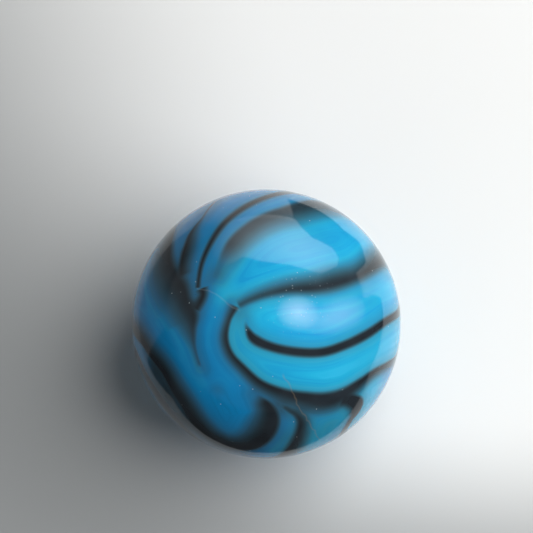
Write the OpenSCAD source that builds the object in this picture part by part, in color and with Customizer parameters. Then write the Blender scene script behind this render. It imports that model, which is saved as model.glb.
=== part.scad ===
// Glass marble: a solid ball of opaque blue glass with sheets of black glass folded into it.
// Each sheet is a separate piece let into the ball. Its outer edge is ground to the ball's
// surface and shows there as a curling ribbon, and its inner edge thins out under the blue.

/* [Ball] */
// Diameter of the ball
ball_d = 16; // [12:0.5:50]
// How far the patterned face is rolled up from the front towards the top, in degrees
face_tilt = 80; // [0:5:90]

/* [Black sheets] */
// Deepest that a wide sheet runs into the ball
sheet_depth = 1.6; // [0.6:0.1:3]
// Depth of a narrow sheet for each millimetre of its width
sheet_slope = 3; // [1.5:0.25:5]
// Part of a sheet's width that is left at its inner edge
root_share = 0.4; // [0.2:0.05:0.8]

/* [Widest width of each ribbon] */
// Ribbon over the pale middle of the face
crest_w = 1.3; // [1.1:0.05:1.5]
// Ribbon through the middle of the face
core_w = 0.62; // [0.5:0.02:0.74]
// Ribbon that loops round the middle ribbon
loop_w = 1.5; // [1.2:0.05:1.7]
// Curl that springs from the loop at the lower right
hook_w = 1.15; // [0.95:0.05:1.3]
// Deep bowl of black at the lower left
bowl_w = 1.7; // [1.4:0.05:1.9]
// Ribbon outside the bowl, along the edge of the face
rim_w = 1.6; // [1.3:0.05:1.8]
// Curl between the bowl and the hook
fin_w = 1.1; // [0.9:0.05:1.3]
// Broad mass on the left
flank_w = 2.2; // [1.8:0.05:2.4]
// Short stub on the broad mass
knot_w = 0.74; // [0.6:0.02:0.86]
// Feathered streak that runs into the broad mass
feather_w = 1; // [0.8:0.05:1.1]
// Fine line over the top
arc_w = 0.62; // [0.5:0.02:0.7]
// Soft band under the fine line
crown_w = 1.7; // [1.4:0.05:1.9]

/* [Hidden] */

// Steps between two points of a route, and facets round the ball
span_steps = 4;
ball_fn = 180;

// How far a sheet is drawn past the ball's surface before it is ground back to it
overcut = 0.4;

blue = "#1fa0d8";
black = "#1c1c20";

// Routes of the ribbons over the ball, seen from the front of the patterned face. Each point is an
// azimuth to the right, an elevation upwards, both in degrees, and a share of the ribbon's width.
crest_route = [
  [-12.5, 7.5, 0.28], [-8, 10, 0.38], [-0.5, 13, 0.5], [10, 15.5, 0.68], [21, 16.5, 0.88], [31.5, 18.5, 1],
  [46.5, 22, 0.88], [63.5, 27, 0.95], [84, 30, 0.9], [106, 31, 0.8], [128, 30, 0.68], [150, 25, 0.68],
  [172, 17, 0.58], [194, 12, 0.46], [214, 13, 0.46], [232, 17, 0.35], [246, 22, 0.14]
];
core_route = [
  [-9, 2, 0.25], [-8, -2, 0.5], [-5, -6.5, 1], [3, -10, 0.95], [14, -12, 0.97], [25, -12, 0.95],
  [36, -9, 0.95], [48, -4.5, 1], [62, 1, 0.9], [78, 4.5, 0.8], [96, 8, 0.8], [115, 8, 0.9], [134, 3, 0.9],
  [153, -5, 0.8], [172, -11, 0.7], [191, -14, 0.5], [208, -14, 0.3], [222, -12, 0.2]
];
loop_route = [
  [-13.5, 8, 0.42], [-16.5, 1.5, 0.3], [-18, -6, 0.36], [-16, -13, 0.37], [-10.5, -19.5, 0.4],
  [-3, -26.5, 0.47], [8.5, -31.5, 0.6], [20, -34, 0.77], [31, -35.5, 1], [41, -33, 0.92], [50, -27, 0.66],
  [60, -21, 0.47], [75, -17, 0.4], [92, -14, 0.4], [110, -15, 0.45], [128, -20, 0.5], [146, -27, 0.55],
  [165, -33, 0.5], [185, -36, 0.4], [205, -35, 0.35], [224, -30, 0.3], [241, -26, 0.22], [256, -26, 0.1]
];
hook_route = [
  [42, -34.5, 0.6], [47, -34.5, 0.8], [52, -35.5, 0.95], [56.5, -37, 1], [59.5, -39.5, 0.97],
  [61.5, -42, 0.75], [63, -46, 0.5], [70, -52, 0.45], [84, -56, 0.5], [102, -57, 0.4], [120, -56, 0.25],
  [134, -54, 0.1]
];
bowl_route = [
  [-6.5, -31, 0.2], [-4, -34, 0.4], [-0.5, -38.5, 0.65], [0.5, -44, 0.9], [-1.5, -50.5, 1], [-8, -58, 1],
  [-20, -63, 1], [-37, -62.5, 1], [-46.5, -55, 0.96], [-47, -46, 0.9], [-46.5, -37, 0.86],
  [-48.5, -29, 0.84], [-52, -19.5, 0.74], [-59, -12.5, 0.66], [-66.5, -6, 0.66], [-78, -1.5, 0.55],
  [-92, 2, 0.4], [-106, 4, 0.12]
];
rim_route = [
  [-122, -6, 0.12], [-106, -6, 0.35], [-92, -9, 0.5], [-80, -15, 0.65], [-75.5, -23.5, 0.85],
  [-73, -31.5, 1], [-72.5, -41, 1], [-75, -50.5, 0.85], [-81, -59, 0.7], [-93, -63, 0.6], [-110, -61, 0.45],
  [-124, -57, 0.12]
];
fin_route = [
  [8.5, -37, 0.12], [13, -39.5, 0.26], [18, -42, 0.42], [22.5, -46, 0.7], [25, -52, 0.8], [27.5, -59, 0.95],
  [31, -67, 1], [38, -76, 0.9], [60, -84.5, 0.8], [208, -84, 0.7], [208, -74, 0.5], [210, -64, 0.12]
];
flank_route = [
  [-148, 36, 0.1], [-132, 39, 0.3], [-114, 42, 0.42], [-96, 44, 0.48], [-82, 43, 0.52], [-71, 39, 0.6],
  [-64, 32, 0.8], [-56.5, 24, 0.92], [-49, 17.5, 1], [-43, 12.5, 1], [-39, 7, 0.8], [-35.5, 2.5, 0.74],
  [-34, -3, 0.4], [-32.5, -10, 0.12], [-30.5, -19, 0.06]
];
knot_route = [[-29.5, 15.5, 1], [-28.5, 12.5, 0.92], [-29.5, 9.5, 0.88], [-31.5, 6, 0.7]];
feather_route = [
  [-66, 66, 0.1], [-54, 57.5, 0.12], [-49.5, 51.5, 0.16], [-48.5, 46.5, 0.35], [-47, 41.5, 0.65],
  [-45, 37, 0.85], [-43.5, 32, 1], [-42, 25.5, 0.9], [-40, 19.5, 0.8]
];
arc_route = [
  [192, 44, 0.3], [172, 44, 0.5], [155, 49, 0.6], [138, 58, 0.7], [110, 70, 0.8], [54, 77.5, 0.9],
  [17, 74, 1], [-8.5, 66, 1], [-20.5, 57.5, 0.95], [-27.5, 48, 0.85], [-30.5, 37.5, 0.72],
  [-32, 26.5, 0.58], [-31.5, 15, 0.5]
];
crown_route = [
  [152, 38, 0.1], [138, 41, 0.25], [123, 45, 0.4], [108, 51, 0.5], [94, 56, 0.65], [76, 59.5, 0.85],
  [55, 60.5, 1], [35, 58.5, 1], [17.5, 54.5, 0.97], [3.5, 50.5, 0.9], [-7.5, 44.5, 0.83],
  [-15.5, 36.5, 0.77], [-19.5, 27.5, 0.62], [-22.5, 19.5, 0.35]
];

// Direction of a point of a route, and the same with the ribbon's width there
function toward(az, el) = [sin(az) * cos(el), -cos(az) * cos(el), sin(el)];
function knots(route, w) = [for (p = route) concat(toward(p[0], p[1]), [p[2] * w])];

// Smooth curve from b to c, with a before them and d after them
function curve(a, b, c, d, t) =
  b + (c - a) * t / 2 + (2 * a - 5 * b + 4 * c - d) * t ^ 2 / 2 + (3 * b - 3 * c + d - a) * t ^ 3 / 2;

// The curve through all the knots, led straight on past both ends
function stations(k) =
  let (n = len(k))
  concat(
    [for (i = [0:n - 2], s = [0:span_steps - 1])
      let (a = i > 0 ? k[i - 1] : 2 * k[0] - k[1])
      let (d = i < n - 2 ? k[i + 2] : 2 * k[n - 1] - k[n - 2])
      curve(a, k[i], k[i + 1], d, s / span_steps)],
    [k[n - 1]]
  );

function unit(v) = v / norm(v);
function direction(q) = unit([q.x, q.y, q.z]);

// The direction p turned by an angle towards the side n
function turned(p, n, angle) = cos(angle) * p + sin(angle) * n;

// Depth of a sheet under a ribbon of this width
function depth_under(w) = min(sheet_depth, sheet_slope * w);

// Four corners of a sheet across the station q: left and right above the surface, right and left at
// the root. A lean of 1 sets the root under the left edge, and -1 under the right edge.
function section(q, ahead, lean) =
  let (p = direction(q), n = unit(cross(p, ahead)))
  let (half = q[3] / ball_d * 180 / PI, root = half * root_share, mid = lean * (half - root))
  let (above = ball_d / 2 + overcut, below = ball_d / 2 - depth_under(q[3]))
  [
    above * turned(p, n, half), above * turned(p, n, -half),
    below * turned(p, n, mid - root), below * turned(p, n, mid + root)
  ];

// A sheet of glass along a route, standing a little proud of the ball
module sheet(route, w, lean) {
  q = stations(knots(route, w));
  last = len(q) - 1;
  corners = [for (i = [0:last])
    each section(q[i], direction(q[min(i + 1, last)]) - direction(q[max(i - 1, 0)]), lean)];
  end = 4 * last;
  sides = [for (i = [0:4:end - 4], j = [0:3])
    let (a = i + j, b = i + (j + 1) % 4)
    each [[a, a + 4, b + 4], [a, b + 4, b]]];
  caps = [[0, 1, 2], [0, 2, 3], [end, end + 2, end + 1], [end, end + 3, end + 2]];
  rotate([-face_tilt, 0, 0]) polyhedron(corners, concat(sides, caps), convexity = 10);
}

// The ball, turned so that its poles lie clear of every sheet
module ball() {
  rotate([-face_tilt, 0, 0]) sphere(d = ball_d, $fn = ball_fn);
}

// One ribbon: its sheet ground to the ball, less the sheets in front of it given as children
module ribbon() {
  color(black) difference() {
    intersection() {
      ball();
      children(0);
    }
    children([1:$children - 1]);
  }
}

module crest_sheet() sheet(crest_route, crest_w, 1);
module core_sheet() sheet(core_route, core_w, 0);
module loop_sheet() sheet(loop_route, loop_w, -1);
module hook_sheet() sheet(hook_route, hook_w, -1);
module bowl_sheet() sheet(bowl_route, bowl_w, -1);
module rim_sheet() sheet(rim_route, rim_w, 0);
module fin_sheet() sheet(fin_route, fin_w, 1);
module flank_sheet() sheet(flank_route, flank_w, -1);
module knot_sheet() sheet(knot_route, knot_w, 0);
module feather_sheet() sheet(feather_route, feather_w, 1);
module arc_sheet() sheet(arc_route, arc_w, 0);
module crown_sheet() sheet(crown_route, crown_w, 1);

module base_glass() {
  color(blue) difference() {
    ball();
    crest_sheet();
    core_sheet();
    loop_sheet();
    hook_sheet();
    bowl_sheet();
    rim_sheet();
    fin_sheet();
    flank_sheet();
    knot_sheet();
    feather_sheet();
    arc_sheet();
    crown_sheet();
  }
}

module crest_ribbon() {
  ribbon() crest_sheet();
}

module core_ribbon() {
  ribbon() core_sheet();
}

module loop_ribbon() {
  ribbon() {
    loop_sheet();
    crest_sheet();
  }
}

module hook_ribbon() {
  ribbon() {
    hook_sheet();
    loop_sheet();
  }
}

module bowl_ribbon() {
  ribbon() bowl_sheet();
}

module rim_ribbon() {
  ribbon() rim_sheet();
}

module fin_ribbon() {
  ribbon() {
    fin_sheet();
    loop_sheet();
  }
}

module flank_ribbon() {
  ribbon() flank_sheet();
}

module knot_ribbon() {
  ribbon() {
    knot_sheet();
    flank_sheet();
  }
}

module feather_ribbon() {
  ribbon() {
    feather_sheet();
    flank_sheet();
  }
}

module arc_ribbon() {
  ribbon() {
    arc_sheet();
    knot_sheet();
  }
}

module crown_ribbon() {
  ribbon() crown_sheet();
}

base_glass();
crest_ribbon();
core_ribbon();
loop_ribbon();
hook_ribbon();
bowl_ribbon();
rim_ribbon();
fin_ribbon();
flank_ribbon();
knot_ribbon();
feather_ribbon();
arc_ribbon();
crown_ribbon();
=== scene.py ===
"""Glass marble: a ball of opaque blue glass with sheets of black glass folded into it.

Run as a script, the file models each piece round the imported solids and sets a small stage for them.
Every step is an operator, and the panel in the sidebar lists them.
"""

import math
from typing import NamedTuple

import bpy
import numpy as np
from bpy.props import FloatProperty, FloatVectorProperty, PointerProperty
from mathutils import Matrix, Vector


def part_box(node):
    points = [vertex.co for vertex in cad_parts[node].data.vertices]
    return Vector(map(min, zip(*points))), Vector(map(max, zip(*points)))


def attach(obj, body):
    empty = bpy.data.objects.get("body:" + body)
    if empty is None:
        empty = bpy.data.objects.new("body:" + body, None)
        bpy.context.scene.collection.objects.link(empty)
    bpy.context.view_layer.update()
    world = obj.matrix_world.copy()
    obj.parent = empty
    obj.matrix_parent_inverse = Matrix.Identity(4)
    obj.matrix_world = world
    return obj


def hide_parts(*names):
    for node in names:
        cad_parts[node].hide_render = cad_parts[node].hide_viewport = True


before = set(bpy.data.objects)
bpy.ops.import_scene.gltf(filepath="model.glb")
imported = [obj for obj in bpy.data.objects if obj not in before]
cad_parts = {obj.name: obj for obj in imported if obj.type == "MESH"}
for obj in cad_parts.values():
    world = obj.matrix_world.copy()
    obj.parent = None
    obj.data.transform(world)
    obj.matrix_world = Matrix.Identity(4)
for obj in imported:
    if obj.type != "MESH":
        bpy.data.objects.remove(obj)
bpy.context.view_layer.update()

bl_info = {
    "name": "Swirled glass marble",
    "version": (1, 0, 0),
    "blender": (4, 5, 0),
    "location": "3D View > Sidebar > Marble",
    "description": "Models a blue glass marble with black ribbons folded into it",
    "category": "Object",
}

MM = 0.001
BALL_LOW, BALL_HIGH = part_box("base_glass")
BALL_D = round(max(BALL_HIGH - BALL_LOW), 5)

# Fineness of the meshes: steps between two points of a route, faces across a ribbon, and rounds of
# subdivision of the ball
SPAN_STEPS = 16
ACROSS_FACES = 24
BALL_ROUNDS = 7

# How far a recess is cut past the ball's surface, and how near to it a vertex counts as on it
OVERCUT = 0.4 * MM
SKIN = 0.004 * MM

# How far a ribbon's mesh goes past its edge at most, where the rest of a long fade lies on the ball
SPILL = 0.25 * MM

# Share of a fade that lies inside a ribbon's edge: under half, because a thin veil of black already
# looks dark
INSIDE_SHARE = 0.4

# Smallest share of a ribbon's width that its fades still shrink with
LEAST_SHARE = 0.02

# Thin black haze along every ribbon: its share of black at the edge, and how far it reaches
HAZE = 0.18
HAZE_REACH = 0.5 * MM

# Blending between the ribbons, in radians at the ball's centre: how near to a ribbon its own tone rules,
# and over what width the tones of its two sides change over
TONE_REACH = 0.02
SIDE_BLEND = 0.04

# Drift of the striae away from the ribbons: how near to a ribbon it levels off, in radians, and the power
# by which the nearest ribbon outweighs the others
DRIFT_REACH = 0.01
DRIFT_POWER = 4.0

# Batches in which vertices are matched with the stations of a track, to save memory
BATCHES = 40


# Properties

def colour(code):
    """The linear colour of a six-digit hex code."""
    parts = [int(code[i:i + 2], 16) / 255 for i in (0, 2, 4)]
    return tuple(c / 12.92 if c <= 0.04045 else ((c + 0.055) / 1.055) ** 2.4 for c in parts)


def colour_property(name, description, code):
    """A colour setting whose default is a hex code's colour."""
    return FloatVectorProperty(
        name=name, description=description, default=colour(code), min=0, max=1, subtype="COLOR"
    )


class MarbleSizes(bpy.types.PropertyGroup):
    """Sizes of the marble."""

    ball_d: FloatProperty(
        name="Diameter", description="Diameter of the ball", default=BALL_D, min=0.012, max=0.05,
        precision=4, unit="LENGTH"
    )
    face_tilt: FloatProperty(
        name="Face tilt", description="How far the patterned face is rolled up from the front",
        default=math.radians(80), min=0, max=math.radians(90), subtype="ANGLE"
    )
    sheet_depth: FloatProperty(
        name="Sheet depth", description="How deep the black sheets run into the ball",
        default=1.6 * MM, min=0.6 * MM, max=3 * MM, precision=4, unit="LENGTH"
    )


class MarbleColours(bpy.types.PropertyGroup):
    """Colours of the glass and the floor."""

    deep_blue: colour_property("Deep blue", "Blue where little white is mixed in", "0f5b8e")
    mid_blue: colour_property("Middle blue", "Blue of most of the ball", "1294d4")
    bright_blue: colour_property("Bright blue", "Blue of the middle of the face", "24b7e2")
    pale_blue: colour_property("Pale blue", "Blue where most white is mixed in", "3cc4f0")
    dull_blue: colour_property("Dull blue", "Blue under a thin veil of black", "507c89")
    black: colour_property("Black", "Black of the thick ribbons", "20262c")
    smoke: colour_property("Smoke", "Black where a ribbon lets some light through", "2c343b")
    pale_flaw: colour_property("Pale flaw", "Pits and the crease where two folds meet", "c4d8de")
    tan_flaw: colour_property("Tan flaw", "Dust in the fine crack", "9c8a6c")
    floor: colour_property("Floor", "Floor on the side of the light", "f4f4f2")
    # Painted shadow: the floor greys to this colour towards the left and the front, away from the key light
    floor_painted_shadow: colour_property("Dim floor", "Floor on the side of the shadow", "a0a2a2")


# Ribbons

class Ribbon(NamedTuple):
    """A black sheet, as it shows on the surface.

    The pairs give the side to the left of the route, then the side to its right. The width, the
    fades and the length over which the ends fade out, the tip, are in millimetres. The density is
    the share of black in the middle, and the tones say how pale the blue alongside is. A route's
    point is an azimuth to the right, an elevation upwards, both in degrees and seen from the front
    of the patterned face, and a share of the ribbon's width.
    """

    node: str
    width: float
    fades: tuple
    tip: float
    density: float
    tones: tuple
    trims: tuple
    route: tuple


# Painted shade in part: the low tones of the bowl and rim ribbons on the lower left stand for shade away
# from the key light, and the crest and core ribbons' tones are set lower round the highlight to dull the
# blue under it
RIBBONS = (
    Ribbon("crest_ribbon", 1.3, (1.5, 0.8), 0.2, 1, (0.68, 0.66), (), (
        (-12.5, 7.5, 0.28), (-8, 10, 0.38), (-0.5, 13, 0.5), (10, 15.5, 0.68), (21, 16.5, 0.88),
        (31.5, 18.5, 1), (46.5, 22, 0.88), (63.5, 27, 0.95), (84, 30, 0.9), (106, 31, 0.8),
        (128, 30, 0.68), (150, 25, 0.68), (172, 17, 0.58), (194, 12, 0.46), (214, 13, 0.46),
        (232, 17, 0.35), (246, 22, 0.14),
    )),
    Ribbon("core_ribbon", 0.62, (0.32, 0.36), 0.9, 1, (0.64, 0.76), (), (
        (-9, 2, 0.25), (-8, -2, 0.5), (-5, -6.5, 1), (3, -10, 0.95), (14, -12, 0.97), (25, -12, 0.95),
        (36, -9, 0.95), (48, -4.5, 1), (62, 1, 0.9), (78, 4.5, 0.8), (96, 8, 0.8), (115, 8, 0.9),
        (134, 3, 0.9), (153, -5, 0.8), (172, -11, 0.7), (191, -14, 0.5), (208, -14, 0.3),
        (222, -12, 0.2),
    )),
    Ribbon("loop_ribbon", 1.5, (0.5, 1.3), 0.12, 1, (0.8, 0.45), ("crest_ribbon",), (
        (-13.5, 8, 0.42), (-16.5, 1.5, 0.3), (-18, -6, 0.36), (-16, -13, 0.37), (-10.5, -19.5, 0.4),
        (-3, -26.5, 0.47), (8.5, -31.5, 0.6), (20, -34, 0.77), (31, -35.5, 1), (41, -33, 0.92),
        (50, -27, 0.66), (60, -21, 0.47), (75, -17, 0.4), (92, -14, 0.4), (110, -15, 0.45),
        (128, -20, 0.5), (146, -27, 0.55), (165, -33, 0.5), (185, -36, 0.4), (205, -35, 0.35),
        (224, -30, 0.3), (241, -26, 0.22), (256, -26, 0.1),
    )),
    Ribbon("hook_ribbon", 1.15, (0.3, 0.7), 0.2, 1, (0.75, 0.6), ("loop_ribbon",), (
        (42, -34.5, 0.6), (47, -34.5, 0.8), (52, -35.5, 0.95), (56.5, -37, 1), (59.5, -39.5, 0.97),
        (61.5, -42, 0.75), (63, -46, 0.5), (70, -52, 0.45), (84, -56, 0.5), (102, -57, 0.4),
        (120, -56, 0.25), (134, -54, 0.1),
    )),
    Ribbon("bowl_ribbon", 1.7, (0.45, 1.8), 1, 1, (0.33, 0.38), ("loop_ribbon",), (
        (-6.5, -31, 0.2), (-4, -34, 0.4), (-0.5, -38.5, 0.65), (0.5, -44, 0.9), (-1.5, -50.5, 1),
        (-8, -58, 1), (-20, -63, 1), (-37, -62.5, 1), (-46.5, -55, 0.96), (-47, -46, 0.9),
        (-46.5, -37, 0.86), (-48.5, -29, 0.84), (-52, -19.5, 0.74), (-59, -12.5, 0.66),
        (-66.5, -6, 0.66), (-78, -1.5, 0.55), (-92, 2, 0.4), (-106, 4, 0.12),
    )),
    Ribbon("rim_ribbon", 1.6, (0.9, 1.6), 0.4, 1, (0.4, 0.5), (), (
        (-122, -6, 0.12), (-106, -6, 0.35), (-92, -9, 0.5), (-80, -15, 0.65), (-75.5, -23.5, 0.85),
        (-73, -31.5, 1), (-72.5, -41, 1), (-75, -50.5, 0.85), (-81, -59, 0.7), (-93, -63, 0.6),
        (-110, -61, 0.45), (-124, -57, 0.12),
    )),
    Ribbon("fin_ribbon", 1.1, (1.2, 0.6), 0.3, 1, (0.55, 0.5), ("loop_ribbon",), (
        (8.5, -37, 0.12), (13, -39.5, 0.26), (18, -42, 0.42), (22.5, -46, 0.7), (25, -52, 0.8),
        (27.5, -59, 0.95), (31, -67, 1), (38, -76, 0.9), (60, -84.5, 0.8), (208, -84, 0.7),
        (208, -74, 0.5), (210, -64, 0.12),
    )),
    Ribbon("flank_ribbon", 2.2, (0.8, 3), 0.3, 1, (0.35, 0.52), (), (
        (-148, 36, 0.1), (-132, 39, 0.3), (-114, 42, 0.42), (-96, 44, 0.48), (-82, 43, 0.52),
        (-71, 39, 0.6), (-64, 32, 0.8), (-56.5, 24, 0.92), (-49, 17.5, 1), (-43, 12.5, 1),
        (-39, 7, 0.8), (-35.5, 2.5, 0.74), (-34, -3, 0.4), (-32.5, -10, 0.12), (-30.5, -19, 0.06),
    )),
    Ribbon("knot_ribbon", 0.74, (0.6, 0.6), 0.1, 1, (0.5, 0.5), ("flank_ribbon",), (
        (-29.5, 15.5, 1), (-28.5, 12.5, 0.92), (-29.5, 9.5, 0.88), (-31.5, 6, 0.7),
    )),
    Ribbon("feather_ribbon", 1, (1.4, 0.4), 0.4, 1, (0.35, 0.35), ("flank_ribbon",), (
        (-66, 66, 0.1), (-54, 57.5, 0.12), (-49.5, 51.5, 0.16), (-48.5, 46.5, 0.35), (-47, 41.5, 0.65),
        (-45, 37, 0.85), (-43.5, 32, 1), (-42, 25.5, 0.9), (-40, 19.5, 0.8),
    )),
    Ribbon("arc_ribbon", 0.62, (0.5, 0.45), 0.1, 1, (0.46, 0.46), ("knot_ribbon",), (
        (192, 44, 0.3), (172, 44, 0.5), (155, 49, 0.6), (138, 58, 0.7), (110, 70, 0.8), (54, 77.5, 0.9),
        (17, 74, 1), (-8.5, 66, 1), (-20.5, 57.5, 0.95), (-27.5, 48, 0.85), (-30.5, 37.5, 0.72),
        (-32, 26.5, 0.58), (-31.5, 15, 0.5),
    )),
    Ribbon("crown_ribbon", 1.7, (2, 0.5), 2.6, 0.85, (0.68, 0.5), (), (
        (152, 38, 0.1), (138, 41, 0.25), (123, 45, 0.4), (108, 51, 0.5), (94, 56, 0.65),
        (76, 59.5, 0.85), (55, 60.5, 1), (35, 58.5, 1), (17.5, 54.5, 0.97), (3.5, 50.5, 0.9),
        (-7.5, 44.5, 0.83), (-15.5, 36.5, 0.77), (-19.5, 27.5, 0.62), (-22.5, 19.5, 0.35),
    )),
)

# Smoky clouds between the ribbons, partly painted: the large dark ones towards the lower left and the
# bottom are partly painted shade on the side away from the key light, and the faint dark ones on the upper
# right and the right dull the blue where the highlights and the window's reflection fall.
# Each gives the azimuth and elevation of its middle and its reach, in degrees, the share of black in it,
# and how much paler its blue is
CLOUDS_AND_PAINTED_SHADE = (
    (-58, -46, 10, 0.8, 0), (-58, -32, 9, 0.8, 0), (-61, -21, 9, 0.75, 0), (-50, -64, 14, 0.65, 0),
    (7, -37.5, 6, 0.4, 0), (19, -39, 5, 0.35, 0), (-33.5, 8, 3.5, 0.6, 0), (-24, -29, 3, 0.15, 0),
    (16, -58, 12, 0.2, 0.1), (27, 38, 17, 0.09, 0), (36, 5, 14, 0.04, 0), (52, -14, 18, 0.07, 0),
    (50, 14, 14, 0.08, 0), (45, -48, 10, 0.22, 0.25), (-17, 12, 5, 0, 0.2), (0, 5, 8, 0, 0.12),
    (62, -27, 9, 0, 0.3), (40, -66, 10, 0, 0.25), (-23, 21.5, 4, 0.3, 0),
)

# Fine lines on the face, as arcs from one azimuth and elevation to another, in degrees, their half widths,
# how far they waver, and the share of half an arc over which it fades at either end
CREASE = (((-32, 15), (-26.5, 14.5)), ((-26.5, 14.5), (-11.5, 5.5)))
CREASE_HALF = 0.09 * MM
CRACK = (((8, -22), (22.5, -42.5)), ((22.5, -42.5), (52, -59.5)))
CRACK_HALF = 0.08 * MM
WAVER = 0.4 * MM
LINE_END = 0.1

# A patch of pale specks round the highlight, partly wear from other marbles and partly painted glints where
# the highlight catches the pits: azimuth and elevation of its middle, in degrees, and its reach
GLINT_SCUFF_MIDDLE = (14, 11)
GLINT_SCUFF_REACH = 3 * MM


class Track(NamedTuple):
    """Stations along a ribbon's middle line, one row each, with angles at the ball's centre."""

    centre: np.ndarray
    ahead: np.ndarray
    left: np.ndarray
    half: np.ndarray
    fade_left: np.ndarray
    fade_right: np.ndarray
    reach: np.ndarray


def unit(rows):
    """The rows, each scaled to a length of 1."""
    return rows / np.linalg.norm(rows, axis=1, keepdims=True)


def curve(a, b, c, d, t):
    """Smooth curve from b to c, with a before them and d after them."""
    return (
        b + (c - a) * t / 2 + (2 * a - 5 * b + 4 * c - d) * t ** 2 / 2
        + (3 * b - 3 * c + d - a) * t ** 3 / 2
    )


def face_directions(azimuth, elevation, sizes):
    """Directions from the ball's centre, one row for each pair of angles on the tilted face."""
    level = np.cos(elevation)
    rows = np.column_stack((np.sin(azimuth) * level, -np.cos(azimuth) * level, np.sin(elevation)))
    return rows @ np.array(Matrix.Rotation(-sizes.face_tilt, 3, "X")).T


def follow(ribbon, sizes):
    """The track of a ribbon on the tilted ball."""
    azimuth, elevation, share = np.array(ribbon.route, float).T
    knots = np.column_stack((face_directions(np.radians(azimuth), np.radians(elevation), sizes), share))
    led = np.vstack((2 * knots[0] - knots[1], knots, 2 * knots[-1] - knots[-2]))
    steps = np.linspace(0, 1, SPAN_STEPS, endpoint=False)[:, None]
    spans = [curve(*led[i:i + 4], steps) for i in range(len(knots) - 1)]
    path = np.vstack((*spans, knots[-1:]))
    centre = unit(path[:, :3])
    left = unit(np.cross(centre, np.gradient(centre, axis=0)))
    half = path[:, 3] * ribbon.width * MM / sizes.ball_d
    fade_left, fade_right = (
        2 * fade * MM / sizes.ball_d * np.sqrt(path[:, 3].clip(LEAST_SHARE)) for fade in ribbon.fades
    )
    lengths = np.linalg.norm(np.diff(centre, axis=0), axis=1)
    gone = np.concatenate(([0], np.cumsum(lengths)))
    return Track(
        centre, np.cross(left, centre), left, half, fade_left, fade_right,
        np.minimum(gone, gone[-1] - gone)
    )


# Fields over the ball

def smooth(x):
    """Rises smoothly from 0 to 1 as x does."""
    x = np.clip(x, 0, 1)
    return x * x * (3 - 2 * x)


def glass_fields(directions, sizes):
    """How black the glass is at each direction, how pale its blue is, and how far the next ribbon is.

    The black adds up the ribbons' soft-edged profiles, the haze along them and the clouds, which are partly
    painted shade. The paleness is blended from the tones on the facing sides of the ribbons around, each
    weighted by its nearness; some of these tones are set lower as painted shade.
    """
    clear = np.ones(len(directions))
    weights = np.zeros(len(directions))
    tones = np.zeros(len(directions))
    nearness = np.zeros(len(directions))
    haze_reach = 2 * HAZE_REACH / sizes.ball_d
    for ribbon in RIBBONS:
        track = follow(ribbon, sizes)
        at = np.concatenate([
            np.argmax(rows @ track.centre.T, axis=1) for rows in np.array_split(directions, BATCHES)
        ])
        across = np.arctan2(
            np.sum(directions * track.left[at], axis=1), np.sum(directions * track.centre[at], axis=1)
        )
        along = np.sum(directions * track.ahead[at], axis=1)
        half = track.half[at]
        last = len(track.centre) - 1
        past = np.where(at == 0, -along, np.where(at == last, along, 0)).clip(0)
        black = ribbon.density * (
            smooth((half - across) / track.fade_left[at] + INSIDE_SHARE)
            * smooth((half + across) / track.fade_right[at] + INSIDE_SHARE)
            * smooth(track.reach[at] * sizes.ball_d / 2 / (ribbon.tip * MM)) * (past == 0)
        )
        away = np.hypot((np.abs(across) - half).clip(0), past)
        clear *= (1 - black) * (1 - HAZE * np.exp(-(away / haze_reach) ** 2))
        weight = 1 / (away ** 2 + TONE_REACH ** 2)
        side = smooth(across / SIDE_BLEND + 0.5)
        tones += weight * (ribbon.tones[1] + (ribbon.tones[0] - ribbon.tones[1]) * side)
        weights += weight
        nearness += (away + DRIFT_REACH) ** -DRIFT_POWER
    paleness = tones / weights
    # Painted shade in part: the large dark clouds on the lower left and the bottom, and the faint ones that
    # dull the blue under the highlights
    for azimuth, elevation, reach, dark, pale in CLOUDS_AND_PAINTED_SHADE:
        middle = face_directions(np.radians([azimuth]), np.radians([elevation]), sizes)[0]
        near = np.exp(-(np.arccos(np.clip(directions @ middle, -1, 1)) / math.radians(reach)) ** 2)
        clear *= 1 - dark * near
        paleness += pale * near
    return {
        "shade": 1 - clear,
        "tone": paleness,
        "drift": nearness ** (-1 / DRIFT_POWER) * sizes.ball_d / 2,
    }


# Meshes

def clear_selection():
    """Deselects every object."""
    bpy.ops.object.select_all(action="DESELECT")


def make_active(obj):
    """Makes an object the active one and the only one selected."""
    clear_selection()
    obj.select_set(True)
    bpy.context.view_layer.objects.active = obj


def apply_modifier(obj, kind, **settings):
    """Adds a modifier, sets it and applies it."""
    make_active(obj)
    bpy.ops.object.modifier_add(type=kind)
    modifier = obj.modifiers[-1]
    for key, value in settings.items():
        setattr(modifier, key, value)
    bpy.ops.object.modifier_apply(modifier=modifier.name)


def points_of(mesh):
    """The places of a mesh's vertices, one row each."""
    points = np.empty(len(mesh.vertices) * 3)
    mesh.vertices.foreach_get("co", points)
    return points.reshape(-1, 3)


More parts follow.
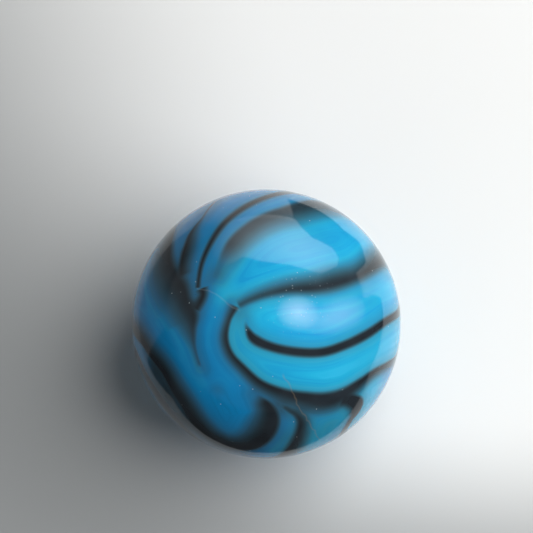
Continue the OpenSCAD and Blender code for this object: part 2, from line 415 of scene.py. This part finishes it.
def lay_strip(name, track, rings, radius, thickness):
    """A strip along a track: a grid bent over the ball, with its thickness inwards.

    The rings are the angles from the track's middle line to the rows of vertices along it, from the
    right edge to the left edge.
    """
    rows, columns = len(track.centre), len(rings)
    clear_selection()
    bpy.ops.mesh.primitive_grid_add(x_subdivisions=rows - 1, y_subdivisions=columns - 1, size=2)
    strip = bpy.context.object
    strip.name = name
    strip.data.name = name
    flat = points_of(strip.data)
    # The new grid runs from -1 to 1 both ways
    row = np.rint((flat[:, 0] + 1) / 2 * (rows - 1)).astype(int)
    column = np.rint((flat[:, 1] + 1) / 2 * (columns - 1)).astype(int)
    angle = rings[column, row][:, None]
    bent = radius * (np.cos(angle) * track.centre[row] + np.sin(angle) * track.left[row])
    strip.data.vertices.foreach_set("co", bent.ravel())
    strip.data.update()
    shrink = 1 - thickness / radius
    bpy.ops.object.mode_set(mode="EDIT")
    bpy.ops.mesh.select_all(action="SELECT")
    bpy.ops.mesh.extrude_region()
    bpy.ops.transform.resize(value=(shrink, shrink, shrink), center_override=(0, 0, 0))
    bpy.ops.mesh.select_all(action="SELECT")
    bpy.ops.mesh.normals_make_consistent(inside=False)
    bpy.ops.object.mode_set(mode="OBJECT")
    return strip


def edge_rings(track, sizes):
    """The right and the left edge of a ribbon's mesh."""
    spill = 2 * SPILL / sizes.ball_d
    return np.array((
        -track.half - np.minimum(track.fade_right / 2, spill),
        track.half + np.minimum(track.fade_left / 2, spill),
    ))


def make_cutter(ribbon, sizes):
    """The recess of a ribbon, drawn past the ball's surface."""
    track = follow(ribbon, sizes)
    radius = sizes.ball_d / 2 + OVERCUT
    return lay_strip("recess", track, edge_rings(track, sizes), radius, sizes.sheet_depth + OVERCUT)


def cut_away(obj, ribbon, sizes):
    """Cuts the recess of a ribbon out of a piece."""
    cutter = make_cutter(ribbon, sizes)
    apply_modifier(obj, "BOOLEAN", operation="DIFFERENCE", solver="MANIFOLD", object=cutter)
    bpy.data.meshes.remove(cutter.data)


def finish_piece(obj, node, material, sizes):
    """Gives a piece its fields, its round outer normals, its material and its place in the frame."""
    mesh = obj.data
    points = points_of(mesh)
    lengths = np.linalg.norm(points, axis=1, keepdims=True)
    directions = points / lengths
    for name, values in glass_fields(directions, sizes).items():
        field = mesh.attributes.new(name, "FLOAT", "POINT")
        field.data.foreach_set("value", values.astype(np.float32))
    make_active(obj)
    bpy.ops.object.shade_smooth()
    outer = lengths > sizes.ball_d / 2 - SKIN
    mesh.normals_split_custom_set_from_vertices(np.where(outer, directions, 0).tolist())
    mesh.materials.clear()
    mesh.materials.append(material)
    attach(obj, "root")
    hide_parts(node)


# Materials

# Fineness of the patterns in the glass, in features to a metre: striae, clouds, the slight peel of the
# polish, pits, and scuffs with their painted glints
STRIAE_SCALE = 140
CLOUD_SCALE = 380
PEEL_SCALE = 1300
PIT_SCALE = 1100
GLINT_SCUFF_SCALE = 3500

# How fast the striae change with their drift away from a ribbon
STRIAE_PACE = 28

# How near to a cell's middle a pit and a scuff's painted glint start and are full, in cells
PIT_RIM = (0.05, 0.015)
GLINT_SCUFF_RIM = (0.22, 0.05)

# How strongly striae and clouds change the blue's paleness, and striae the thin black
STRIAE_IN_BLUE = 0.9
CLOUD_IN_BLUE = 0.12
STRIAE_IN_BLACK = 1.6

# Where in the clouds the black turns to smoke
SMOKE_RANGE = (0.35, 0.75)

# How strongly each flaw, and the scuff's painted glints, show in the colour
PIT_SHARE = 0.7
GLINT_SCUFF_SHARE = 0.45
CREASE_SHARE = 0.08
CRACK_SHARE = 0.2

# The polish: depth and strength of its unevenness, depths of a pit and the crease compared with that,
# roughness of clear glass, and what clouds and pits add to it
PEEL_DEPTH = 0.004 * MM
PEEL_STRENGTH = 0.6
PIT_DEPTH = 2
CREASE_DEPTH = 0.8
ROUGHNESS = 0.05
CLOUD_ROUGHNESS = 0.06
PIT_ROUGHNESS = 0.3
GLASS_IOR = 1.5


class Signal:
    """A socket of a node tree. Arithmetic on it adds Math nodes to the tree."""

    def __init__(self, tree, socket=None):
        self.tree = tree
        self.socket = socket

    def node(self, kind, settings, inputs, output=0):
        """Adds a node, sets it, gives its sockets their values or links, and returns an output."""
        made = self.tree.nodes.new(kind)
        for key, value in settings.items():
            if key == "stops":
                set_stops(made.color_ramp, value)
            else:
                setattr(made, key, value)
        for key, value in inputs.items():
            socket = pick(made.inputs, key)
            if isinstance(value, Signal):
                self.tree.links.new(value.socket, socket)
            else:
                socket.default_value = value
        return Signal(self.tree, pick(made.outputs, output) if made.outputs else None)

    def math(self, operation, first, second):
        """Adds a Math node for an operation on two values."""
        return self.node("ShaderNodeMath", {"operation": operation}, {0: first, 1: second})

    def __add__(self, other):
        return self.math("ADD", self, other)

    def __radd__(self, other):
        return self.math("ADD", other, self)

    def __sub__(self, other):
        return self.math("SUBTRACT", self, other)

    def __rsub__(self, other):
        return self.math("SUBTRACT", other, self)

    def __mul__(self, other):
        return self.math("MULTIPLY", self, other)

    def __rmul__(self, other):
        return self.math("MULTIPLY", other, self)

    def __abs__(self):
        return self.math("ABSOLUTE", self, 0)

    def dot(self, direction):
        """How far this place lies along a direction."""
        return self.node(
            "ShaderNodeVectorMath", {"operation": "DOT_PRODUCT"}, {0: self, 1: direction}, "Value"
        )

    def ramp(self, low, high):
        """Rises smoothly from 0 to 1 as this value goes from low to high."""
        return self.node(
            "ShaderNodeMapRange", {"interpolation_type": "SMOOTHSTEP"},
            {"Value": self, "From Min": low, "From Max": high}
        )

    def mix(self, first, second):
        """Blends two colours by this value."""
        return self.node(
            "ShaderNodeMix", {"data_type": "RGBA"},
            {"Factor_Float": self, "A_Color": first, "B_Color": second}, "Result_Color"
        )


def pick(sockets, key):
    """A socket by its number, or by its identifier or name."""
    if isinstance(key, int):
        return sockets[key]
    return next(s for s in sockets if key in (s.identifier, s.name))


def set_stops(color_ramp, stops):
    """Sets a colour ramp to stops, each a position and a colour."""
    while len(color_ramp.elements) < len(stops):
        color_ramp.elements.new(1)
    for element, (position, rgb) in zip(color_ramp.elements, stops):
        element.position = position
        element.color = (*rgb, 1)


def new_tree(data):
    """The emptied node tree of a material or a world."""
    data.use_nodes = True
    data.node_tree.nodes.clear()
    return Signal(data.node_tree)


def fine_line(where, arcs, half_width, waver, sizes):
    """1 along some wavering arcs over the ball, falling to 0 at the half width to either side."""
    line = 0
    for arc in arcs:
        azimuth, elevation = np.radians(arc).T
        start, end = (Vector(row) for row in face_directions(azimuth, elevation, sizes))
        across = start.cross(end).normalized()
        middle = (start + end).normalized()
        reach = start.angle(end) / 2 * sizes.ball_d / 2
        aside = abs(where.dot(across) + waver).ramp(half_width, 0)
        along = abs(where.dot(across.cross(middle))).ramp(reach * (1 + LINE_END), reach * (1 - LINE_END))
        line = line + aside * along * where.dot(middle).ramp(0, MM)
    return line


def glass_material(name, colours, sizes):
    """Polished opaque glass, blue or black by the piece's own fields (which hold some painted shade), with
    striae, small flaws and painted glints round the highlight.
    """
    material = bpy.data.materials.get(name + "_looks") or bpy.data.materials.new(name + "_looks")
    tree = new_tree(material)
    where = tree.node("ShaderNodeTexCoord", {}, {}, "Object")
    shade, tone, drift = (
        tree.node("ShaderNodeAttribute", {"attribute_name": field}, {}, "Fac")
        for field in ("shade", "tone", "drift")
    )
    striae = tree.node(
        "ShaderNodeTexNoise", {"noise_dimensions": "4D"},
        {"Vector": where, "W": drift * STRIAE_PACE, "Scale": STRIAE_SCALE, "Detail": 3, "Roughness": 0.6},
        "Fac"
    )
    cloud = tree.node(
        "ShaderNodeTexNoise", {"noise_dimensions": "3D"},
        {"Vector": where, "Scale": CLOUD_SCALE, "Detail": 2, "Roughness": 0.5}, "Fac"
    )
    peel = tree.node(
        "ShaderNodeTexNoise", {"noise_dimensions": "3D"},
        {"Vector": where, "Scale": PEEL_SCALE, "Detail": 1}, "Fac"
    )
    gap = tree.node("ShaderNodeTexVoronoi", {}, {"Vector": where, "Scale": PIT_SCALE}, "Distance")
    fine_gap = tree.node("ShaderNodeTexVoronoi", {}, {"Vector": where, "Scale": GLINT_SCUFF_SCALE}, "Distance")
    azimuth, elevation = np.radians(GLINT_SCUFF_MIDDLE).reshape(2, 1)
    middle = Vector(face_directions(azimuth, elevation, sizes)[0]) * sizes.ball_d / 2
    away = tree.node("ShaderNodeVectorMath", {"operation": "DISTANCE"}, {0: where, 1: middle}, "Value")
    # Painted glints: pale specks in a patch round the highlight, partly wear
    scuff_glints = fine_gap.ramp(*GLINT_SCUFF_RIM) * away.ramp(GLINT_SCUFF_REACH, 0) * GLINT_SCUFF_SHARE
    pits = gap.ramp(*PIT_RIM) + scuff_glints
    waver = (peel - 0.5) * WAVER
    crease = fine_line(where, CREASE, CREASE_HALF, waver, sizes)
    crack = fine_line(where, CRACK, CRACK_HALF, waver, sizes)
    paleness = tone + (striae - 0.5) * tone * STRIAE_IN_BLUE + (cloud - 0.5) * CLOUD_IN_BLUE
    blue = tree.node("ShaderNodeValToRGB", {"stops": (
        (0, colours.deep_blue), (0.45, colours.mid_blue), (0.75, colours.bright_blue),
        (1, colours.pale_blue),
    )}, {"Fac": paleness}, "Color")
    wisp = shade + (striae - 0.5) * STRIAE_IN_BLACK * shade * (1 - shade)
    black = cloud.ramp(*SMOKE_RANGE).mix((*colours.black, 1), (*colours.smoke, 1))
    body = wisp.mix(wisp.mix(blue, (*colours.dull_blue, 1)), black)
    creased = (crease * CREASE_SHARE + pits * PIT_SHARE).mix(body, (*colours.pale_flaw, 1))
    cracked = (crack * CRACK_SHARE).mix(creased, (*colours.tan_flaw, 1))
    surface = tree.node("ShaderNodeBump", {"invert": True}, {
        "Strength": PEEL_STRENGTH, "Distance": PEEL_DEPTH,
        "Height": peel + pits * PIT_DEPTH + crease * CREASE_DEPTH,
    })
    gloss = tree.node("ShaderNodeBsdfPrincipled", {}, {
        "Base Color": cracked, "Roughness": cloud * CLOUD_ROUGHNESS + ROUGHNESS + pits * PIT_ROUGHNESS,
        "IOR": GLASS_IOR, "Normal": surface,
    }, "BSDF")
    tree.node("ShaderNodeOutputMaterial", {}, {"Surface": gloss})
    return material


# Stage

# The photograph's frame in pixels, and the ball's middle and radius in it
FRAME_PX = 533
BALL_PX = (266.2, 323.9)
BALL_RADIUS_PX = 134.6

# The camera: a lens so long that the ball shows its full outline, its sensor, both in millimetres, and how
# steeply it looks down
LENS = 800
SENSOR = 36
CAMERA_ELEVATION = math.radians(80)

# Outline of the window round its brightest spot, seen from below, in millimetres
WINDOW = (
    (-155, -35), (-100, -25), (-80, -18), (-55, -33), (-31, -38), (-4, -36), (39, -36), (65, -28), (78, 19),
    (66, 41), (43, 49), (8, 39), (-9, 51), (-19, 69), (-155, 69),
)


class Card(NamedTuple):
    """A dim card on the floor outside the camera's view, which stands for a dim part of the room.

    It has an outline, a grey, and a direction along which it fades in between two distances. The
    lengths are in millimetres.
    """

    outline: tuple
    grey: float
    direction: tuple
    fade: tuple


# The front and the right card are full all over, and the left one fades in
CARDS = (
    Card((
        (-300, -4), (-16.4, -4), (-16.4, -11.8), (16.4, -11.8), (28, -11), (28, 8), (45, 14), (300, 80),
        (300, -300), (-300, -300),
    ), 0.05, (0, -1), (-300, -299)),
    Card((
        (-300, -4), (-16.4, -4), (-16.4, 21.5), (-6, 21.5), (-20, 60), (-100, 300), (-300, 300),
    ), 0.25, (-0.94, -0.34), (-2, 12)),
    Card((
        (3.5, 21.5), (16.4, 21.5), (16.4, 16), (28, 19), (300, 170), (300, 300), (80, 300), (34, 134),
    ), 0.03, (1, 0), (0, 1)),
)

# How far the cards lie above the floor
CARD_LIFT = 0.1 * MM

# The floor's side in metres, and the two directions along which its painted shadow lifts, each with the
# distances in millimetres where that starts and ends
FLOOR_SIDE = 1.2
FLOOR_SHADOW_FADES = (((0.9, 0.44, 0), -18, 10), ((0, 1, 0), -16, -4))

# Colour and level of the light that comes from all over the room
ROOM_TINT = (0.92, 0.97, 1, 1)
ROOM_LEVEL = 0.1

# Tints of the panels, and the corners of a round one
NEUTRAL = (1, 1, 1, 1)
WARM = (1, 0.8, 0.65, 1)
OVAL_CORNERS = 48

# Axes of the camera's view
RIGHT = Vector((1, 0, 0))
BACK = Vector((0, -math.cos(CAMERA_ELEVATION), math.sin(CAMERA_ELEVATION)))
UP = BACK.cross(RIGHT)


def seen(x, y, z):
    """A point given as the camera sees it: right, up and towards the camera, in millimetres."""
    return (RIGHT * x + UP * y + BACK * z) * MM


def turn_to(x_axis, z_axis):
    """The turn that gives an object these axes."""
    z_axis = z_axis.normalized()
    y_axis = z_axis.cross(x_axis).normalized()
    return Matrix((y_axis.cross(z_axis), y_axis, z_axis)).transposed().to_euler()


def add_camera(sizes):
    """The camera at the photograph's angle, with the ball at its place in the frame."""
    focal_px = FRAME_PX * LENS / SENSOR
    ball_angle = math.atan(BALL_RADIUS_PX / focal_px)
    distance = sizes.ball_d / 2 / math.sin(ball_angle)
    off_right = FRAME_PX / 2 - BALL_PX[0]
    off_up = BALL_PX[1] - FRAME_PX / 2
    aim = (RIGHT * off_right + UP * off_up) * distance / focal_px
    place = BACK * distance
    clear_selection()
    bpy.ops.object.camera_add(location=place, rotation=turn_to(RIGHT, place - aim))
    camera = bpy.context.object
    camera.data.lens = LENS
    camera.data.sensor_width = SENSOR
    camera.data.clip_start = 10 * MM
    bpy.context.scene.camera = camera


def add_flat(name, outline, place, x_axis, z_axis):
    """A flat stage piece that the camera doesn't see, with its outline in millimetres round the place."""
    clear_selection()
    bpy.ops.mesh.primitive_circle_add(
        vertices=len(outline), fill_type="NGON", location=place, rotation=turn_to(x_axis, z_axis)
    )
    flat = bpy.context.object
    flat.name = name
    corners = np.array([(x * MM, y * MM, 0) for x, y in outline])
    flat.data.vertices.foreach_set("co", corners.ravel())
    flat.data.update()
    flat.visible_camera = False
    return flat


def add_panel(name, outline, place, x_axis, z_axis, level, reach, core, tint=NEUTRAL):
    """A glowing panel for a softbox or a window, which shows in the gloss and hides nothing behind it.

    Its glow falls off evenly to nothing at its reach to either side of the place, in millimetres, and
    has its full level inside the share of that reach given as the core.
    """
    panel = add_flat(name, outline, place, x_axis, z_axis)
    material = bpy.data.materials.new(name)
    tree = new_tree(material)
    where = tree.node("ShaderNodeTexCoord", {}, {}, "Object")
    share = tree.node(
        "ShaderNodeVectorMath", {"operation": "DIVIDE"}, {0: where, 1: (reach[0] * MM, reach[1] * MM, 1)},
        "Vector"
    )
    distance = tree.node("ShaderNodeVectorMath", {"operation": "LENGTH"}, {0: share}, "Value")
    glow = tree.node("ShaderNodeMapRange", {}, {
        "Value": distance, "From Min": core, "From Max": 1, "To Min": level, "To Max": 0,
    })
    light = tree.node("ShaderNodeEmission", {}, {"Color": tint, "Strength": glow})
    clear = tree.node("ShaderNodeBsdfTransparent", {}, {})
    both = tree.node("ShaderNodeAddShader", {}, {0: light, 1: clear})
    tree.node("ShaderNodeOutputMaterial", {}, {"Surface": both})
    panel.data.materials.append(material)
    panel.visible_diffuse = False


def add_lamp(name, place, size, power):
    """A round softbox that faces the ball and doesn't show in the gloss of the glass."""
    clear_selection()
    bpy.ops.object.light_add(type="AREA", location=place, rotation=turn_to(RIGHT, place))
    lamp = bpy.context.object
    lamp.name = name
    lamp.data.shape = "DISK"
    lamp.data.size = size
    lamp.data.energy = power
    lamp.visible_glossy = False


def oval(across, up):
    """The outline of a round or oval panel with these half sizes."""
    turns = (2 * math.pi * i / OVAL_CORNERS for i in range(OVAL_CORNERS))
    return [(across * math.cos(turn), up * math.sin(turn)) for turn in turns]


def add_card(name, card, sizes):
    """Lays a card on the floor, where only the gloss of the glass sees it."""
    place = (0, 0, CARD_LIFT - sizes.ball_d / 2)
    sheet = add_flat(name, card.outline, place, RIGHT, Vector((0, 0, 1)))
    material = bpy.data.materials.new(name)
    tree = new_tree(material)
    where = tree.node("ShaderNodeTexCoord", {}, {}, "Object")
    start, end = card.fade
    cover = where.dot((*card.direction, 0)).ramp(start * MM, end * MM)
    clear = tree.node("ShaderNodeBsdfTransparent", {}, {})
    matt = tree.node("ShaderNodeBsdfDiffuse", {}, {"Color": (card.grey, card.grey, card.grey, 1)}, "BSDF")
    both = tree.node("ShaderNodeMixShader", {}, {0: cover, 1: clear, 2: matt})
    tree.node("ShaderNodeOutputMaterial", {}, {"Surface": both})
    sheet.data.materials.append(material)
    sheet.visible_diffuse = False
    sheet.visible_shadow = False


def add_floor(sizes, colours):
    """A plain pale floor under the ball, with a painted shadow that greys it towards the left and the
    front.
    """
    clear_selection()
    bpy.ops.mesh.primitive_plane_add(size=FLOOR_SIDE, location=(0, 0, -sizes.ball_d / 2))
    floor = bpy.context.object
    floor.name = "floor"
    material = bpy.data.materials.new("floor")
    tree = new_tree(material)
    where = tree.node("ShaderNodeTexCoord", {}, {}, "Object")
    rightwards, backwards = (
        where.dot(direction).ramp(start * MM, end * MM) for direction, start, end in FLOOR_SHADOW_FADES
    )
    # Painted shadow: the paper greys from the pale floor colour towards the left and the front
    paper_with_painted_shadow = (rightwards * backwards).mix((*colours.floor_painted_shadow, 1), (*colours.floor, 1))
    matt = tree.node("ShaderNodeBsdfDiffuse", {}, {"Color": paper_with_painted_shadow}, "BSDF")
    tree.node("ShaderNodeOutputMaterial", {}, {"Surface": matt})
    floor.data.materials.append(material)


def set_world():
    """A dim even room."""
    world = bpy.data.worlds.new("room")
    bpy.context.scene.world = world
    tree = new_tree(world)
    room = tree.node("ShaderNodeBackground", {}, {"Color": ROOM_TINT, "Strength": ROOM_LEVEL})
    tree.node("ShaderNodeOutputWorld", {}, {"Surface": room})


# Operators

class MARBLE_OT_base_glass(bpy.types.Operator):
    """Models the blue ball with a recess for every black ribbon."""

    bl_idname = "marble.base_glass"
    bl_label = "Blue ball"

    def execute(self, context):
        sizes = context.scene.marble_sizes
        clear_selection()
        bpy.ops.mesh.primitive_ico_sphere_add(subdivisions=BALL_ROUNDS, radius=sizes.ball_d / 2)
        ball = context.object
        ball.name = "blue_ball"
        for ribbon in RIBBONS:
            cut_away(ball, ribbon, sizes)
        material = glass_material("blue_glass", context.scene.marble_colours, sizes)
        finish_piece(ball, "base_glass", material, sizes)
        return {"FINISHED"}


class MARBLE_OT_ribbons(bpy.types.Operator):
    """Models the black ribbons, each trimmed where it runs into another."""

    bl_idname = "marble.ribbons"
    bl_label = "Black ribbons"

    def execute(self, context):
        sizes = context.scene.marble_sizes
        material = glass_material("black_glass", context.scene.marble_colours, sizes)
        by_node = {ribbon.node: ribbon for ribbon in RIBBONS}
        for ribbon in RIBBONS:
            track = follow(ribbon, sizes)
            name = ribbon.node.replace("_ribbon", "_streak")
            rings = np.linspace(*edge_rings(track, sizes), ACROSS_FACES + 1)
            strip = lay_strip(name, track, rings, sizes.ball_d / 2, sizes.sheet_depth)
            for other in ribbon.trims:
                cut_away(strip, by_node[other], sizes)
            finish_piece(strip, ribbon.node, material, sizes)
        return {"FINISHED"}


class MARBLE_OT_stage(bpy.types.Operator):
    """Sets the camera, the floor, the softboxes and the room."""

    bl_idname = "marble.stage"
    bl_label = "Stage"

    def execute(self, context):
        sizes = context.scene.marble_sizes
        context.scene.view_settings.view_transform = "Standard"
        add_camera(sizes)
        add_floor(sizes, context.scene.marble_colours)
        add_lamp("key", seen(86, 40, 117), size=0.2, power=0.35)
        add_lamp("bounce", seen(-100, -80, 75), size=0.1, power=0.02)
        place, reach = seen(67.5, 23.5, 132), (52, 40)
        add_panel("spot", oval(*reach), place, RIGHT, place, level=8.8, reach=reach, core=0, tint=WARM)
        place, reach, slant = seen(131, 14, 72), (105, 36), seen(1, 0.3, -1)
        add_panel("strip", oval(*reach), place, slant, place, level=3.3, reach=reach, core=0.2, tint=WARM)
        place, reach = seen(-140, 60, -15), (160, 100)
        add_panel("fill", oval(*reach), place, BACK, RIGHT, level=0.18, reach=reach, core=0)
        add_panel("window", WINDOW, seen(45, 100, 40), RIGHT, UP, level=3.2, reach=(125, 105), core=0.1)
        for number, card in enumerate(CARDS):
            add_card(f"card_{number}", card, sizes)
        set_world()
        return {"FINISHED"}


class MARBLE_PT_panel(bpy.types.Panel):
    """Sizes, colours and steps of the marble."""

    bl_idname = "MARBLE_PT_panel"
    bl_label = "Marble"
    bl_space_type = "VIEW_3D"
    bl_region_type = "UI"
    bl_category = "Marble"

    def draw(self, context):
        layout = self.layout
        for group in (context.scene.marble_sizes, context.scene.marble_colours):
            box = layout.box()
            for key in group.__annotations__:
                box.prop(group, key)
        for step in STEPS:
            layout.operator(step.bl_idname)


STEPS = (MARBLE_OT_base_glass, MARBLE_OT_ribbons, MARBLE_OT_stage)
CLASSES = (MarbleSizes, MarbleColours, *STEPS, MARBLE_PT_panel)


def register():
    for cls in CLASSES:
        bpy.utils.register_class(cls)
    bpy.types.Scene.marble_sizes = PointerProperty(type=MarbleSizes)
    bpy.types.Scene.marble_colours = PointerProperty(type=MarbleColours)


def unregister():
    del bpy.types.Scene.marble_colours
    del bpy.types.Scene.marble_sizes
    for cls in reversed(CLASSES):
        bpy.utils.unregister_class(cls)


def main():
    register()
    bpy.ops.marble.base_glass()
    bpy.ops.marble.ribbons()
    bpy.ops.marble.stage()


if __name__ == "__main__":
    main()
